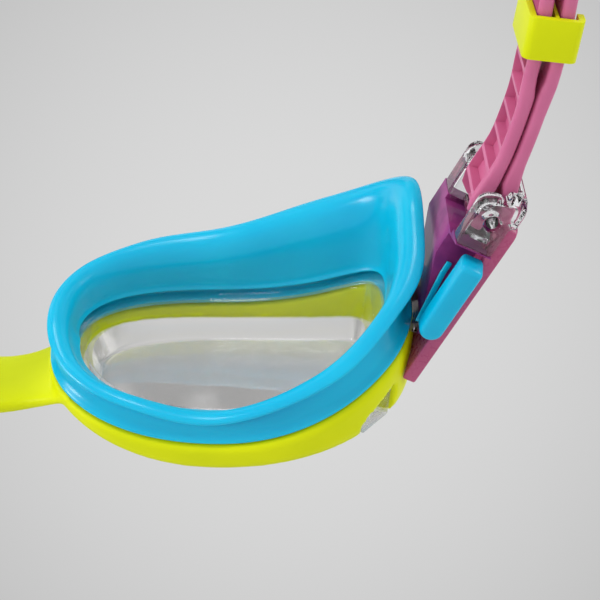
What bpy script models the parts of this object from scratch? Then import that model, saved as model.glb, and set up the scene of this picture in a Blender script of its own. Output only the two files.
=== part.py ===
"""Swim goggles with a soft frame, clear lens cups, face seals and buckled side arms.

Worn position: +Z up, the lenses face -Y, X = 0 is the plane between the eyes. The right-hand
pieces, as worn, are at -X. Heights are first counted from the middle of the cups and depths from
the face, then the whole object is set down with its origin under its middle.
"""

import math
from collections import namedtuple

import bpy
import bmesh
from mathutils import Matrix, Vector

MM = 0.001
GAP = 0.3 * MM  # between pieces that touch

# Eye cup
CUP_CENTRE = 39.5 * MM  # from the plane between the eyes
CUP_HALF_TEMPLE = 28.4 * MM  # to the edge of the lens flange
CUP_HALF_NOSE = 26.5 * MM
CUP_HALF_HEIGHT = 16.5 * MM
CUP_SQUARENESS = 2.3
CUP_STATIONS = 48

# Depths along Y at the cup centre, and how the planes curve back and lean
FLANGE_DEPTH = -10.15 * MM
FLANGE_WRAP_TEMPLE = 11.7  # per metre
FLANGE_WRAP_NOSE = 4.0
FRONT_DEPTH = -17.4 * MM
FRONT_WRAP_TEMPLE = 5.3
FRONT_WRAP_NOSE = 7.0
LEAN = 0.115  # the top of each cup lies further back

# Lens
LENS_FRONT_DEPTH = -18.3 * MM
LENS_WRAP = 4.0
LENS_WALL = 1.7 * MM
LENS_DRAFT = 1.2 * MM
LENS_SHOULDER = 0.6 * MM  # rounding between the front and the side wall
LENS_FIELD = 6.0 * MM  # from the shoulder to the ring round the middle of the front
FLANGE_THICKNESS = 1.0 * MM
FLANGE_WIDTH = 2.2 * MM

# Frame
RIM_WIDTH = 2.8 * MM  # outside the flange edge
RIM_ROUNDING = 1.1 * MM
RIM_EASE = 0.4 * MM  # rounding at the rim's rear edge
# Window to the lens at each temple. Corners: degrees round the cup, share of the rim's depth
NOTCH = ((-46, 0.75), (-29.5, 0.40), (-32, 1.35), (-46, 1.35))
NOTCH_REACH = 3.0 * MM
BRIDGE_HALF_HEIGHT = 6.9 * MM
BRIDGE_THICKNESS = 3.8 * MM
BRIDGE_FRONT = -18.8 * MM
BRIDGE_REACH = 14.5 * MM
BRIDGE_FLARE = 2.2 * MM
BRIDGE_RINGS = 12
BRIDGE_SIDES = 12

# Face seal
SEAL_STRIP = 0.7 * MM
SEAL_LAP = 1.2 * MM
SEAL_WALL = 1.5 * MM
SEAL_TIP = 1.0 * MM
SEAL_BASE_INSET = 2.6 * MM
SEAL_BASE_CENTRE = -0.7 * MM
SEAL_FOOT = 0.8 * MM  # height of the seal's foot behind the flange
SEAL_HALF_TEMPLE = CUP_HALF_TEMPLE + 3.9 * MM
SEAL_HALF_NOSE = CUP_HALF_NOSE + 2.6 * MM
SEAL_HALF_HEIGHT = CUP_HALF_HEIGHT + 3.5 * MM
SEAL_NECK_GROW = -0.4 * MM
SEAL_CREST = 0.8 * MM  # the lip bulges behind its edge
# Every 30 degrees from the temple, over the top, the nose and the bottom
SEAL_DEPTHS = [d * MM for d in (12.8, 16.6, 8.6, 1.9, 0.4, -0.8, -2.9, -6.7, -8.4, -10.2, -3.9, 5.8)]
SEAL_SQUARENESS = (3.0, 4.0, 4.0, 2.6, 2.1, 2.1, 2.1, 2.1, 2.2, 2.4, 2.4, 2.2)

# Side arm, in its own frame: s runs back along the arm, n outwards, z up
# It starts outside the temple edge of the cup and follows it as it wraps back
TEMPLE_OUT = CUP_CENTRE + CUP_HALF_TEMPLE
TEMPLE_DEPTH = FLANGE_DEPTH + FLANGE_WRAP_TEMPLE * CUP_HALF_TEMPLE**2
ARM_START = Vector((TEMPLE_OUT + 2.0 * MM, TEMPLE_DEPTH - 10.687 * MM))
ARM_ANGLE = math.radians(27)
ARM_THICKNESS = 6.1 * MM
ARM_TOP = 10.3 * MM
ARM_BOTTOM = -9.4 * MM
ARM_FRONT = 8.2 * MM
ARM_WAIST = -4.4 * MM  # lower edge above the button
ARM_END = 42.0 * MM
EAR_RADIUS = 3.6 * MM
EAR_END = 39.2 * MM  # behind this only the ring round the strap goes on
EAR_RING_DEPTH = -4.0 * MM
ARM_TAPER_START = 8.5 * MM  # where the arm is thinnest
ARM_TAPER_END = 23.1 * MM
ARM_TAPER_THICKNESS = 1.0 * MM
WINDOW_START = 27.6 * MM
PIN_AT = 33.8 * MM
PIN_DEPTH = -4.8 * MM
PIN_DIAMETER = 2.0 * MM
PIN_SUNK = 1.0 * MM  # both ends together
END_BAR = 2.0 * MM
END_BAR_THICKNESS = 2.2 * MM
ARM_SIDE_CLEARANCE = 0.4 * MM
PAWL_ROOM = 2.2 * MM
COVER_THICKNESS = 1.6 * MM
COVER_END = 34.0 * MM
COVER_HALF_HEIGHT = 8.6 * MM
COVER_CORNER = 1.6 * MM
COVER_START = 1.6 * MM
COVER_NOTCH_START = WINDOW_START + 2.6 * MM
BEYOND = 20 * MM  # how far cutters reach past what they cut

# Release button
BUTTON_START = 11.6 * MM
BUTTON_LENGTH = 15.0 * MM
BUTTON_WIDTH = 3.8 * MM
BUTTON_HEIGHT = 3.4 * MM
BUTTON_BOTTOM = -11.2 * MM
BUTTON_CHAMFER = 0.6 * MM
BUTTON_PIVOT = 1.0 * MM  # in from the button's front end and top
SPRING_LEG = 0.7 * MM
SPRING_RISE = 8.6 * MM
SPRING_REACH = 11.0 * MM

# Locking pawl
PAWL_THICKNESS = 1.0 * MM
PAWL_LENGTH = 3.2 * MM
PAWL_START = WINDOW_START + 1.4 * MM

# Strap
STRAP_WIDTH = 10.0 * MM
STRAP_THICKNESS = 2.1 * MM
STRAP_BACK = 150.0 * MM
STRAP_SIDE = ARM_START.x + 18.7 * MM
STRAP_TAIL_END = 58.5 * MM
LAYER_GAP = 0.4 * MM
KEEPER_LAYER_GAP = 1.2 * MM
STRAP_LEVEL = 62.0 * MM  # where the side runs into the round back
STRAP_SHOULDER = 40.0 * MM
SHOULDER_STEPS = 14
BACK_STEPS = 20
CLOSING_LENGTH = 9.0 * MM  # from the pin to where the layers lie together
OPENING_LENGTH = 7.0 * MM  # over which they part again before the keeper
OPENING_LEAD = 10.0 * MM

# Strap keeper
KEEPER_AT = 46.4 * MM
KEEPER_LENGTH = 6.4 * MM
KEEPER_WALL = 0.95 * MM
KEEPER_CLEARANCE = 0.35 * MM
KEEPER_SLOT = 6.4 * MM
KEEPER_CORNER = 1.2 * MM

Finish = namedtuple("Finish", "colour roughness metallic alpha")
FINISHES = {
    "lime_tpe": Finish((0.67, 0.74, 0.0), 0.35, 0.0, 1.0),
    "cyan_silicone": Finish((0.006, 0.42, 0.72), 0.25, 0.0, 1.0),
    "clear_polycarbonate": Finish((0.8, 0.82, 0.84), 0.05, 0.0, 0.35),
    "magenta_polycarbonate": Finish((0.48, 0.08, 0.21), 0.3, 0.0, 1.0),
    "pink_silicone": Finish((0.62, 0.16, 0.34), 0.45, 0.0, 1.0),
}
SIDES = {"right": -1, "left": 1}

Outline = namedtuple("Outline", "half_temple half_nose half_height")
FLANGE_OUTLINE = Outline(CUP_HALF_TEMPLE, CUP_HALF_NOSE, CUP_HALF_HEIGHT)
SEAL_OUTLINE = Outline(SEAL_HALF_TEMPLE, SEAL_HALF_NOSE, SEAL_HALF_HEIGHT)


def clear_scene():
    """Remove every object of the start-up scene."""
    for old in list(bpy.data.objects):
        bpy.data.objects.remove(old)


def material(name):
    """A Principled material for one of the named finishes."""
    found = bpy.data.materials.get(name)
    if found:
        return found
    finish = FINISHES[name]
    made = bpy.data.materials.new(name)
    made.use_nodes = True
    shader = made.node_tree.nodes["Principled BSDF"]
    shader.inputs["Base Color"].default_value = (*finish.colour, 1.0)
    shader.inputs["Roughness"].default_value = finish.roughness
    shader.inputs["Metallic"].default_value = finish.metallic
    shader.inputs["Alpha"].default_value = finish.alpha
    return made


def add_object(name, shape, finish, origin=(0.0, 0.0, 0.0)):
    """An object from a bmesh in world coordinates, with its own origin."""
    bmesh.ops.remove_doubles(shape, verts=shape.verts, dist=1e-6)
    bmesh.ops.recalc_face_normals(shape, faces=shape.faces)
    bmesh.ops.translate(shape, verts=shape.verts, vec=-Vector(origin))
    mesh = bpy.data.meshes.new(name)
    shape.to_mesh(mesh)
    shape.free()
    mesh.materials.append(material(finish))
    obj = bpy.data.objects.new(name, mesh)
    obj.location = origin
    bpy.context.scene.collection.objects.link(obj)
    return obj


def boolean(obj, other, operation):
    """Join or cut obj with another object, which is then only a helper."""
    step = obj.modifiers.new(operation.title(), "BOOLEAN")
    step.object = other
    step.operation = operation
    step.solver = "EXACT"
    other.hide_render = True
    other.display_type = "WIRE"


def smooth(obj, angle=40):
    """Shade round faces smooth and keep edges sharper than the angle."""
    obj.data.shade_smooth()
    obj.data.set_sharp_from_angle(angle=math.radians(angle))


def around(values, angle):
    """A smooth closed curve through values spaced evenly round the cup, read at an angle."""
    place = angle / (2 * math.pi) * len(values)
    first = math.floor(place)
    t = place - first
    before, start, end, after = (values[(first + i) % len(values)] for i in (-1, 0, 1, 2))
    bend = 2 * before - 5 * start + 4 * end - after
    twist = 3 * (start - end) + after - before
    return start + 0.5 * t * (end - before + t * (bend + t * twist))


def outline_point(outline, angle, grow, squareness):
    """(out, z) on a rounded outline, grown by a distance. Angle 0 is the temple, 90 the top."""
    half = (outline.half_temple if math.cos(angle) > 0 else outline.half_nose) + grow
    high = outline.half_height + grow
    across, up = half * math.cos(angle), high * math.sin(angle)
    power = abs(across / half) ** squareness + abs(up / high) ** squareness
    scale = power ** (-1 / squareness)
    return CUP_CENTRE + across * scale, up * scale


def plane_depth(out, z, depth, wrap_temple, wrap_nose):
    """Y of a cup plane that wraps back on both sides and leans back at the top."""
    offset = out - CUP_CENTRE
    wrap = wrap_temple if offset > 0 else wrap_nose
    return depth + wrap * offset**2 + LEAN * z


def flange_depth(out, z):
    return plane_depth(out, z, FLANGE_DEPTH, FLANGE_WRAP_TEMPLE, FLANGE_WRAP_NOSE)


def front_depth(out, z):
    return plane_depth(out, z, FRONT_DEPTH, FRONT_WRAP_TEMPLE, FRONT_WRAP_NOSE)


def lens_depth(out, z):
    return plane_depth(out, z, LENS_FRONT_DEPTH, LENS_WRAP, LENS_WRAP)


def cup_point(side, angle, grow, depth_of, back=0.0):
    """A world point on the flange outline grown by a distance, on a depth plane."""
    out, z = outline_point(FLANGE_OUTLINE, angle, grow, CUP_SQUARENESS)
    return Vector((side * out, depth_of(out, z) + back, z))


def ring_angles():
    return [2 * math.pi * i / CUP_STATIONS for i in range(CUP_STATIONS)]


def loft(rings, closed):
    """A skin over rings of points. A closed loft joins the last ring to the first, any other is
    capped at both ends."""
    shape = bmesh.new()
    loops = [[shape.verts.new(point) for point in ring] for ring in rings]
    count = len(loops[0])
    pairs = list(zip(loops, loops[1:] + loops[:1]))
    for near, far in pairs if closed else pairs[:-1]:
        for i in range(count):
            j = (i + 1) % count
            shape.faces.new((near[i], near[j], far[j], far[i]))
    if not closed:
        for loop in (loops[0], loops[-1]):
            middle = shape.verts.new(sum((v.co for v in loop), Vector()) / count)
            for i in range(count):
                shape.faces.new((loop[i], loop[(i + 1) % count], middle))
    return shape


def lens_rings(side):
    """Rings of one lens cup, from the middle of its front to the middle of its inside."""
    wall = -FLANGE_WIDTH
    inside = wall - LENS_WALL
    flat = lens_depth
    rows = (
        (wall - LENS_DRAFT - LENS_FIELD, flat, 0.0),
        (wall - LENS_DRAFT - LENS_SHOULDER, flat, 0.0),
        (wall - LENS_DRAFT, flat, LENS_SHOULDER),
        (wall, flange_depth, -FLANGE_THICKNESS),
        (0.0, flange_depth, -FLANGE_THICKNESS),
        (0.0, flange_depth, 0.0),
        (inside, flange_depth, 0.0),
        (inside - LENS_DRAFT, flat, LENS_WALL),
        (inside - LENS_DRAFT - LENS_FIELD, flat, LENS_WALL),
    )
    turns = ring_angles()
    return [[cup_point(side, a, grow, plane, back) for a in turns] for grow, plane, back in rows]


def make_lens(name, side):
    lens = add_object(f"lens_{name}", loft(lens_rings(side), False), "clear_polycarbonate")
    smooth(lens)


def seal_section(side, angle):
    """The seal's closed section at one angle: strip in front, channel on the flange, lip behind."""
    squareness = around(SEAL_SQUARENESS, angle)
    rim_out, rim_z = outline_point(SEAL_OUTLINE, angle, 0.0, squareness)
    rim = Vector((rim_out, around(SEAL_DEPTHS, angle), rim_z))
    base_out, base_z = outline_point(FLANGE_OUTLINE, angle, SEAL_BASE_CENTRE, CUP_SQUARENESS)
    base = Vector((base_out, flange_depth(base_out, base_z) + GAP, base_z))
    neck_out, neck_z = outline_point(FLANGE_OUTLINE, angle, SEAL_NECK_GROW, CUP_SQUARENESS)
    crest = max(rim.y + SEAL_CREST, base.y + 1.0 * MM)
    low_neck = Vector((neck_out, base.y + 0.6 * (crest - base.y), neck_z))
    neck = Vector((neck_out, crest, neck_z))
    radial = Vector((rim.x - CUP_CENTRE, 0.0, rim.z)).normalized()

    def lip_point(t):
        return (base * (1 - t) ** 3 + low_neck * 3 * t * (1 - t) ** 2 + neck * 3 * t**2 * (1 - t)
                + rim * t**3)

    def lip_side(t, thickness):
        ahead = ((low_neck - base) * (1 - t) ** 2 + (neck - low_neck) * 2 * t * (1 - t)
                 + (rim - neck) * t**2)
        across = Vector((ahead.dot(radial), ahead.y)).normalized()
        return lip_point(t) + (radial * across.y - Vector((0, across.x, 0))) * thickness

    def at(grow, back):
        out, z = outline_point(FLANGE_OUTLINE, angle, grow, CUP_SQUARENESS)
        return Vector((out, flange_depth(out, z) + back, z))

    wall = -FLANGE_WIDTH + GAP
    strip_rear = -FLANGE_THICKNESS - GAP
    points = [
        at(SEAL_LAP, strip_rear - SEAL_STRIP),
        at(wall, strip_rear - SEAL_STRIP),
        at(wall, strip_rear),
        at(GAP, strip_rear),
        at(GAP, GAP),
        at(-SEAL_BASE_INSET, GAP),
        at(-SEAL_BASE_INSET + GAP, GAP + SEAL_FOOT),
    ]
    points += [lip_side(t, -SEAL_WALL / 2) for t in (0.3, 0.5, 0.7, 0.85)]
    points += [lip_side(0.97, -SEAL_TIP / 2), lip_side(1.0, 0.0), lip_side(0.97, SEAL_TIP / 2)]
    points += [lip_side(t, SEAL_WALL / 2) for t in (0.8, 0.6, 0.4)]
    points += [at(SEAL_LAP, GAP + SEAL_STRIP)]
    return [Vector((side * p.x, p.y, p.z)) for p in points]


def make_seal(name, side):
    sections = [seal_section(side, a) for a in ring_angles()]
    seal = add_object(f"face_seal_{name}", loft(sections, True), "cyan_silicone")
    smooth(seal, 60)


def rim_border():
    """How far the frame's rear edge lies in front of the flange's rear face."""
    return -FLANGE_THICKNESS - GAP - SEAL_STRIP - GAP


def rim_section(side, angle):
    """The frame's closed section round one lens, in front of the seal's strip."""
    border = rim_border()
    inner = -FLANGE_WIDTH + GAP

    def rear(grow):
        return cup_point(side, angle, grow, flange_depth, border)

    def front(grow, back=0.0):
        return cup_point(side, angle, grow, front_depth, back)

    return [
        rear(inner),
        rear(SEAL_LAP),
        rear(RIM_WIDTH - RIM_EASE),
        rear(RIM_WIDTH).lerp(front(RIM_WIDTH), 0.3),
        rear(RIM_WIDTH).lerp(front(RIM_WIDTH), 0.7),
        front(RIM_WIDTH - RIM_ROUNDING),
        front(inner + RIM_ROUNDING - LENS_DRAFT),
        front(inner - LENS_DRAFT * 0.7, RIM_ROUNDING),
    ]


def superellipse(half, turn):
    """A rounded-square curve: its half size along one axis at an angle."""
    return half * math.copysign(abs(turn) ** 0.7, turn)


def bridge_shape():
    """The nose bridge, a flat bar that bows forward and runs into both rims."""
    rings = []
    rim_front = front_depth(BRIDGE_REACH, 0.0)
    rim_middle = 0.5 * (rim_front + flange_depth(BRIDGE_REACH, 0.0) + rim_border())
    bar_middle = BRIDGE_FRONT + 0.5 * BRIDGE_THICKNESS
    for i in range(BRIDGE_RINGS + 1):
        x = BRIDGE_REACH * (2 * i / BRIDGE_RINGS - 1)
        share = abs(x) / BRIDGE_REACH
        middle = bar_middle + (rim_middle - bar_middle) * share**2
        thick = BRIDGE_THICKNESS * (1 - 0.3 * share)
        high = BRIDGE_HALF_HEIGHT + BRIDGE_FLARE * share**3
        ring = []
        for turn in range(BRIDGE_SIDES):
            angle = 2 * math.pi * (turn + 0.5) / BRIDGE_SIDES
            y = middle + superellipse(0.5 * thick, math.cos(angle))
            ring.append(Vector((x, y, superellipse(high, math.sin(angle)))))
        rings.append(ring)
    return loft(rings, False)


def notch_shape(side):
    """What is cut from the rim's front edge at the temple, so that the lens shows."""
    rings = []
    for grow in (RIM_WIDTH + NOTCH_REACH, -FLANGE_WIDTH - NOTCH_REACH):
        ring = []
        for degrees, share in NOTCH:
            angle = math.radians(degrees)
            rear = cup_point(side, angle, RIM_WIDTH, flange_depth, rim_border())
            depth = rear.y + (cup_point(side, angle, RIM_WIDTH, front_depth).y - rear.y) * share
            out, z = outline_point(FLANGE_OUTLINE, angle, grow, CUP_SQUARENESS)
            ring.append(Vector((side * out, depth, z)))
        rings.append(ring)
    return loft(rings, False)


def make_frame():
    rims = {}
    for name, side in SIDES.items():
        sections = [rim_section(side, a) for a in ring_angles()]
        rims[name] = loft(sections, True)
    frame = add_object("frame", rims["right"], "lime_tpe")
    boolean(frame, add_object("helper_rim_left", rims["left"], "lime_tpe"), "UNION")
    boolean(frame, add_object("helper_bridge", bridge_shape(), "lime_tpe"), "UNION")
    for name, side in SIDES.items():
        cut(frame, f"helper_notch_{name}", notch_shape(side))
    smooth(frame)


def arm_point(side, s, n, z):
    """World point of the arm's own (s, n, z)."""
    out = ARM_START.x + s * math.sin(ARM_ANGLE) + n * math.cos(ARM_ANGLE)
    y = ARM_START.y + s * math.cos(ARM_ANGLE) - n * math.sin(ARM_ANGLE)
    return Vector((side * out, y, z))


def arm_prism(side, corners, inner, outer):
    """An outline in the arm's (s, z) plane, extruded between two depths n."""
    shape = bmesh.new()
    face = shape.faces.new([shape.verts.new(arm_point(side, s, inner, z)) for s, z in corners])
    grown = bmesh.ops.extrude_face_region(shape, geom=[face])
    moved = [v for v in grown["geom"] if isinstance(v, bmesh.types.BMVert)]
    step = arm_point(side, 0.0, outer, 0.0) - arm_point(side, 0.0, inner, 0.0)
    bmesh.ops.translate(shape, verts=moved, vec=step)
    return shape


def arm_block(side, s, n, z):
    """A box between two values of each of s, n and z."""
    corners = [(s[0], z[0]), (s[1], z[0]), (s[1], z[1]), (s[0], z[1])]
    return arm_prism(side, corners, *n)


def arc(centre, radius, start, end, steps):
    """Points on an arc, from one angle in degrees to another."""
    turns = [math.radians(start + (end - start) * i / steps) for i in range(steps + 1)]
    return [(centre[0] + radius * math.cos(t), centre[1] + radius * math.sin(t)) for t in turns]


def arm_outline():
    """The arm seen from the side, with round ears and the waist above the button."""
    ear = EAR_RADIUS
    waist_end = BUTTON_START + BUTTON_LENGTH + 0.6 * MM
    points = [(ARM_FRONT, ARM_WAIST), (waist_end, ARM_WAIST), (waist_end + 1.2 * MM, ARM_BOTTOM)]
    points += arc((ARM_END - ear, ARM_BOTTOM + ear), ear, -90, 0, 5)
    points += arc((ARM_END - ear, ARM_TOP - ear), ear, 0, 90, 5)
    points += [(WINDOW_START - 6 * MM, ARM_TOP), (ARM_FRONT + 6 * MM, 8.6 * MM), (ARM_FRONT, 7.0 * MM)]
    return points


def cut(obj, name, shape):
    """Cut a shape out of an object."""
    boolean(obj, add_object(name, shape, "clear_polycarbonate"), "DIFFERENCE")


def arm_upright(side, corners):
    """A cutter from an outline in the arm's (s, n) plane, as high as any piece."""
    rings = [[arm_point(side, s, n, z) for s, n in corners] for z in (-BEYOND, BEYOND)]
    return loft(rings, False)


def make_arm(name, side):
    """The clear side arm: a seat for the cover, a taper in front and a window for the strap."""
    seat = -COVER_THICKNESS - GAP
    inner = seat - ARM_THICKNESS
    body = arm_prism(side, arm_outline(), inner, 0.0)
    arm = add_object(f"side_arm_{name}", body, "clear_polycarbonate")

    plate = arm_block(side, (-BEYOND, COVER_END + GAP), (seat, BEYOND), (-BEYOND, BEYOND))
    cut(arm, f"helper_seat_{name}", plate)

    thin = seat - ARM_TAPER_THICKNESS
    front = [(0.0, thin), (ARM_TAPER_START, thin), (ARM_TAPER_END, inner), (ARM_TAPER_END, -BEYOND)]
    cut(arm, f"helper_taper_{name}", arm_upright(side, front + [(0.0, -BEYOND)]))

    ring = EAR_RING_DEPTH
    ear = [(EAR_END, ring), (ARM_END + BEYOND, ring), (ARM_END + BEYOND, -BEYOND),
           (EAR_END - EAR_RADIUS, -BEYOND), (EAR_END - EAR_RADIUS, inner)]
    ear += arc((EAR_END - EAR_RADIUS, inner + EAR_RADIUS), EAR_RADIUS, -60, 0, 4)
    cut(arm, f"helper_ear_{name}", arm_upright(side, ear))

    half = 0.5 * STRAP_WIDTH + ARM_SIDE_CLEARANCE
    behind = (WINDOW_START, ARM_END + BEYOND)
    room = arm_block(side, behind, (-BEYOND, -END_BAR_THICKNESS), (-half, half))
    cut(arm, f"helper_room_{name}", room)
    opening = (WINDOW_START + PAWL_ROOM, ARM_END - END_BAR)
    cut(arm, f"helper_window_{name}", arm_block(side, opening, (-BEYOND, BEYOND), (-half, half)))
    cut(arm, f"helper_pin_hole_{name}", pin_shape(side, 0.5 * PIN_DIAMETER + GAP, 2 * BEYOND))
    smooth(arm, 30)


def pin_shape(side, radius, length):
    """A round pin across the arm, centred on the strap."""
    centre = arm_point(side, PIN_AT, PIN_DEPTH, 0.0)
    shape = bmesh.new()
    bmesh.ops.create_cone(
        shape, cap_ends=True, segments=16, radius1=radius, radius2=radius, depth=length,
        matrix=Matrix.Translation(centre),
    )
    return shape


def make_pin(name, side):
    """The pin that the strap turns round, a little shorter than the arm is high."""
    length = 2 * min(ARM_TOP, -ARM_BOTTOM) - PIN_SUNK
    shape = pin_shape(side, 0.5 * PIN_DIAMETER, length)
    smooth(add_object(f"strap_pin_{name}", shape, "clear_polycarbonate"))


def make_cover(name, side):
    """The magenta plate on the arm's outer face, hollow in front and notched behind."""
    high = COVER_HALF_HEIGHT
    corner = COVER_CORNER
    notch = 0.5 * STRAP_WIDTH + 2 * GAP
    points = [(COVER_START, -high)]
    points += arc((COVER_END - corner, -high + corner), corner, -90, 0, 3)
    points += [(COVER_END, -notch), (COVER_NOTCH_START, -notch)]
    points += [(COVER_NOTCH_START, notch), (COVER_END, notch)]
    points += arc((COVER_END - corner, high - corner), corner, 0, 90, 3)
    points += [(COVER_START, high), (4.6 * MM, 5.0 * MM), (6.2 * MM, 0.0), (4.6 * MM, -5.0 * MM)]
    shape = arm_prism(side, points, -COVER_THICKNESS, 0.0)
    cover = add_object(f"arm_cover_{name}", shape, "magenta_polycarbonate")
    smooth(cover, 30)


def make_button(name, side):
    """The push button, a lever below the arm on a thin spring leg. It turns about its front end."""
    far = -COVER_THICKNESS - GAP
    near = far - BUTTON_WIDTH
    start, end = BUTTON_START, BUTTON_START + BUTTON_LENGTH
    bottom, top = BUTTON_BOTTOM, BUTTON_BOTTOM + BUTTON_HEIGHT
    round_end = 0.48 * BUTTON_HEIGHT
    chamfer = BUTTON_CHAMFER
    points = arc((start + round_end, bottom + round_end), round_end, 180, 270, 4)
    points += arc((end - round_end, bottom + round_end), round_end, 270, 360, 4)
    points += [(end, top - chamfer), (end - chamfer, top)]
    points += [(start + chamfer, top), (start, top - chamfer)]
    shape = arm_prism(side, points, near, far)
    pivot = arm_point(side, start + BUTTON_PIVOT, 0.5 * (near + far), top - BUTTON_PIVOT)
    button = add_object(f"release_button_{name}", shape, "cyan_silicone", pivot)
    smooth(button, 30)


def make_spring_leg(name, side):
    """The button's thin leg, which leans on the arm's lower edge and springs the button back."""
    far = -COVER_THICKNESS - GAP
    start = BUTTON_START
    low = BUTTON_BOTTOM + BUTTON_HEIGHT + GAP
    top = ARM_WAIST - GAP
    points = [
        (start, low),
        (start + SPRING_LEG + GAP, low),
        (start + SPRING_RISE, top - SPRING_LEG),
        (start + SPRING_REACH, top - SPRING_LEG),
        (start + SPRING_REACH, top),
        (start + SPRING_RISE - GAP, top),
    ]
    shape = arm_prism(side, points, far - BUTTON_WIDTH, far)
    leg = add_object(f"button_spring_{name}", shape, "cyan_silicone")
    smooth(leg, 30)


def make_pawl(name, side):
    """The clear bar in front of the doubled strap that holds its ribs."""
    half = 0.5 * STRAP_WIDTH
    front, back = PAWL_START, PAWL_START + PAWL_THICKNESS
    depth = -END_BAR_THICKNESS - GAP
    points = [(front, -half), (back, -half), (back, half), (front, half)]
    pivot = arm_point(side, 0.5 * (front + back), depth - 0.5 * PAWL_THICKNESS, 0.0)
    shape = arm_prism(side, points, depth - PAWL_LENGTH, depth)
    pawl = add_object(f"locking_pawl_{name}", shape, "clear_polycarbonate", pivot)
    smooth(pawl, 30)


def seam_points():
    """(out, y) along the middle between the strap's two layers, from the pin to the back."""
    pin = arm_point(1, PIN_AT, PIN_DEPTH, 0.0)
    start = Vector((pin.x, pin.y))
    bend = Vector((STRAP_SIDE - 0.2 * MM, STRAP_SHOULDER))
    end = Vector((STRAP_SIDE, STRAP_LEVEL))
    shares = [i / SHOULDER_STEPS for i in range(SHOULDER_STEPS)]
    shoulder = [start * (1 - t) ** 2 + bend * 2 * t * (1 - t) + end * t**2 for t in shares]
    turns = [math.radians(90 * i / BACK_STEPS) for i in range(BACK_STEPS + 1)]
    deep = STRAP_BACK - STRAP_LEVEL
    back = [Vector((STRAP_SIDE * math.cos(t), STRAP_LEVEL + deep * math.sin(t))) for t in turns]
    return shoulder + back


def ease(t):
    """A smooth rise from 0 to 1 as t goes from 0 to 1."""
    t = min(1.0, max(0.0, t))
    return t**2 * (3 - 2 * t)


def layer_offset(y):
    """Distance from the seam to the middle of a layer."""
    pin_y = arm_point(1, PIN_AT, PIN_DEPTH, 0.0).y
    at_pin = 0.5 * PIN_DIAMETER + GAP + 0.5 * STRAP_THICKNESS
    apart = 0.5 * (LAYER_GAP + STRAP_THICKNESS)
    at_keeper = 0.5 * (KEEPER_LAYER_GAP + STRAP_THICKNESS)
    closed = at_pin + (apart - at_pin) * ease((y - pin_y) / CLOSING_LENGTH)
    return closed + (at_keeper - apart) * ease((y - KEEPER_AT + OPENING_LEAD) / OPENING_LENGTH)


def strap_path():
    """Middle line of the band on one side: tail end, round the pin, then round the head."""
    seam = seam_points()
    outer, inner = [], []
    for i, point in enumerate(seam):
        ahead = (seam[min(i + 1, len(seam) - 1)] - seam[max(i - 1, 0)]).normalized()
        normal = Vector((ahead.y, -ahead.x))
        offset = layer_offset(point.y)
        if point.y < STRAP_TAIL_END and i < 20:
            outer.append(point + normal * offset)
        inner.append(point - normal * offset)
    pin = seam[0]
    first = (seam[1] - seam[0]).normalized()
    across = Vector((first.y, -first.x))
    radius = layer_offset(pin.y)
    bend = [pin + (across * math.cos(t) - first * math.sin(t)) * radius for t in
            (math.pi * i / 10 for i in range(1, 10))]
    return outer[::-1] + bend + inner


def make_strap():
    """One flat band from one tail end to the other, on edge."""
    side = strap_path()
    path = [Vector((-p.x, p.y)) for p in side] + side[-2::-1]
    half = 0.5 * STRAP_THICKNESS
    near, far = [], []
    for i, point in enumerate(path):
        ahead = (path[min(i + 1, len(path) - 1)] - path[max(i - 1, 0)]).normalized()
        normal = Vector((ahead.y, -ahead.x))
        near.append(point + normal * half)
        far.append(point - normal * half)
    shape = bmesh.new()
    rings = []
    for left, right in zip(near, far):
        corners = ((left, -0.5), (left, 0.5), (right, 0.5), (right, -0.5))
        rings.append([shape.verts.new((p.x, p.y, h * STRAP_WIDTH)) for p, h in corners])
    for first, second in zip(rings, rings[1:]):
        for i in range(4):
            j = (i + 1) % 4
            shape.faces.new((first[i], first[j], second[j], second[i]))
    shape.faces.new(rings[0])
    shape.faces.new(rings[-1])
    strap = add_object("strap_band", shape, "pink_silicone")
    smooth(strap)


def keeper_frame():
    """Middle of the keeper on the seam, and the strap's direction there, in (out, y)."""
    seam = seam_points()
    middle_y = KEEPER_AT + 0.5 * KEEPER_LENGTH
    after = next(i for i, p in enumerate(seam) if p.y > middle_y)
    low, high = seam[after - 1], seam[after]
    return low.lerp(high, (middle_y - low.y) / (high.y - low.y)), (high - low).normalized()


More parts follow.
